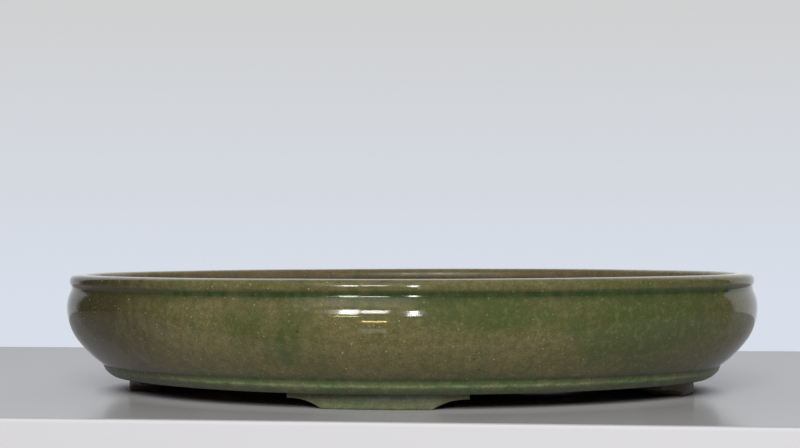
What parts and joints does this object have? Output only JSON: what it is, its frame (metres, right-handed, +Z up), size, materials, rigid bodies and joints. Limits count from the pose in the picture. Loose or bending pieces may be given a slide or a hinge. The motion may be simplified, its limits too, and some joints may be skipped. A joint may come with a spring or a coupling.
{
  "type": "oval bonsai pot",
  "caption": "Shallow oval footed pot with a bellied glazed wall, banded lip, base bead and drained floor, for a small trained tree.",
  "frame": {"origin": "on the ground, under the middle of the pot", "axes": "+X along the pot's length, +Y from its front to its back, +Z up"},
  "size_m": [0.4, 0.31, 0.068],
  "materials": {
    "olive_glaze": "glossy olive-brown glaze with fine pale specks",
    "moss_glaze": "glossy moss-green glaze, thin and pale on the edges",
    "bare_clay": "matt red-brown stoneware body with dark specks"
  },
  "bodies": {
    "root": {"floor_slab": "bare_clay", "belly_wall": "olive_glaze", "rim_lip": "olive_glaze", "base_bead": "moss_glaze", "foot_front": "moss_glaze", "foot_back": "moss_glaze", "foot_left": "moss_glaze", "foot_right": "moss_glaze"}
  },
  "joints": []
}
